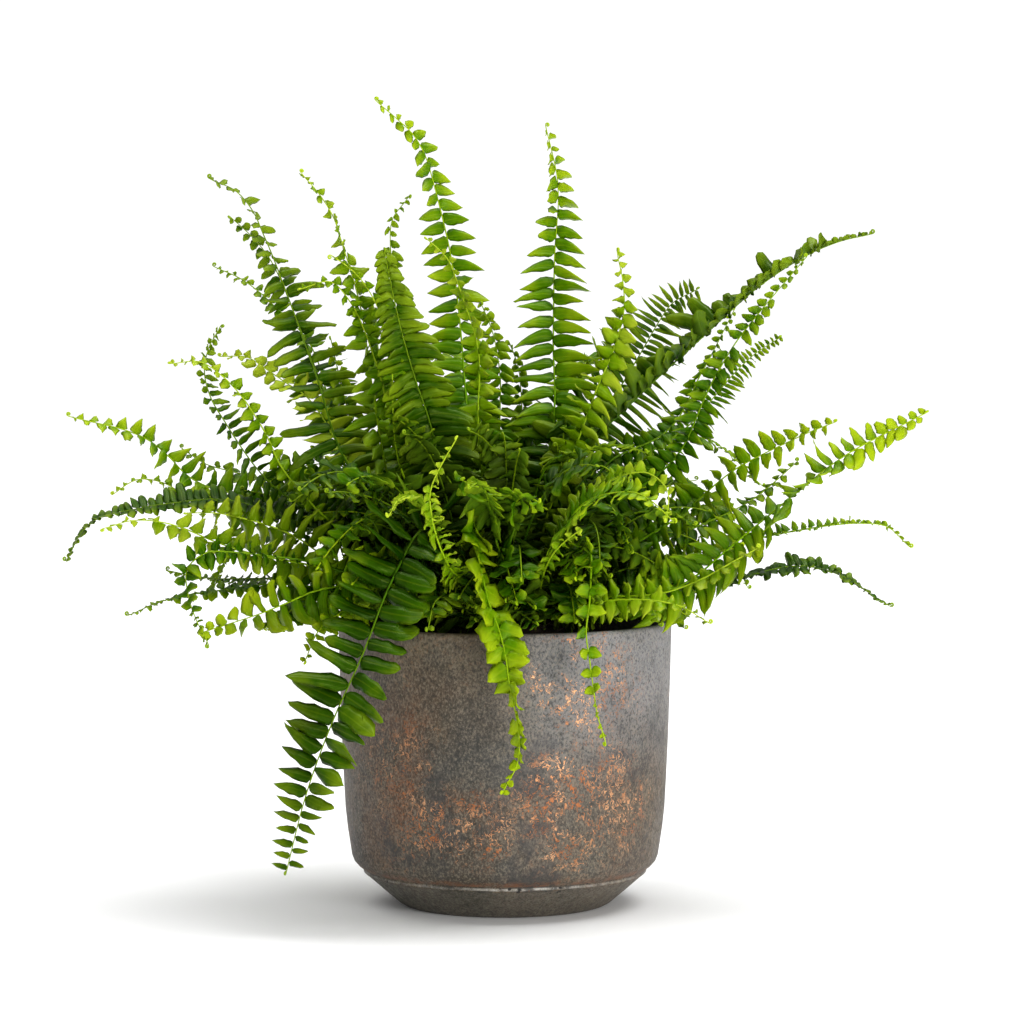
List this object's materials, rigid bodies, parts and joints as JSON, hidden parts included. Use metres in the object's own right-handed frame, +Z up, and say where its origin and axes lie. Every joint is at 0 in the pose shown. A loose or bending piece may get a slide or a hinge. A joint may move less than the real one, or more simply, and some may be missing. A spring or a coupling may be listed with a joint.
{
  "type": "potted boston fern",
  "caption": "Arching Boston fern fronds with small leaflets, rising from a rhizome crown and soil in a round straight-sided pot with a dark worn copper patina.",
  "frame": {"origin": "centre of the pot's flat base", "axes": "+Z up along the pot's axis, +X to the right and -Y towards the front of the plant"},
  "size_m": [0.4855, 0.3885, 0.4596],
  "materials": {
    "pot": "dark worn glaze with copper and blue-grey patina",
    "soil": "damp fibrous potting soil",
    "crown": "brown scaly rhizome with fibres",
    "frond_young": "satin, pale yellow-green young leaflets",
    "frond_fresh": "satin, bright green leaflets",
    "frond_mature": "satin, mid green leaflets",
    "frond_dark": "satin, deep green older leaflets"
  },
  "bodies": {
    "root": {"pot": "pot", "soil": "soil", "crown": "crown", "frond_back_1": "frond_mature", "frond_back_2": "frond_fresh", "frond_back_3": "frond_mature", "frond_back_4": "frond_fresh", "frond_back_5": "frond_mature", "frond_big_droop": "frond_dark", "frond_bright_drop": "frond_fresh", "frond_centre_back": "frond_mature", "frond_centre_crozier": "frond_young", "frond_centre_fan": "frond_mature", "frond_centre_flat": "frond_mature", "frond_centre_tall": "frond_mature", "frond_comb_left": "frond_fresh", "frond_dark_blade": "frond_dark", "frond_far_left_mid": "frond_dark", "frond_far_left_top": "frond_fresh", "frond_far_right": "frond_fresh", "frond_feather_back": "frond_dark", "frond_front_curl": "frond_young", "frond_front_left_tip": "frond_young", "frond_front_of_tall": "frond_young", "frond_left_behind": "frond_dark", "frond_left_big": "frond_dark", "frond_left_curl": "frond_young", "frond_left_edge_on": "frond_young", "frond_left_hanging": "frond_mature", "frond_left_lower_stem": "frond_young", "frond_left_shelf": "frond_dark", "frond_left_slim": "frond_mature", "frond_left_stalk": "frond_young", "frond_left_upright": "frond_dark", "frond_left_young": "frond_young", "frond_long_right": "frond_dark", "frond_low_1": "frond_dark", "frond_low_2": "frond_mature", "frond_low_3": "frond_dark", "frond_low_4": "frond_mature", "frond_low_5": "frond_dark", "frond_low_left_dark": "frond_dark", "frond_low_left_long": "frond_mature", "frond_low_right_pale": "frond_young", "frond_low_right_star": "frond_young", "frond_mid_small": "frond_mature", "frond_right_curl": "frond_young", "frond_right_feather": "frond_mature", "frond_right_front": "frond_fresh", "frond_right_inner": "frond_mature", "frond_right_low_arch": "frond_dark", "frond_right_mid": "frond_fresh", "frond_right_pale": "frond_young", "frond_right_slim": "frond_mature", "frond_right_thin_arch": "frond_fresh", "frond_right_upper": "frond_mature", "frond_tall_left": "frond_fresh", "frond_tall_right": "frond_fresh", "frond_thin_drop": "frond_fresh", "frond_yellow_left": "frond_young"}
  },
  "joints": []
}
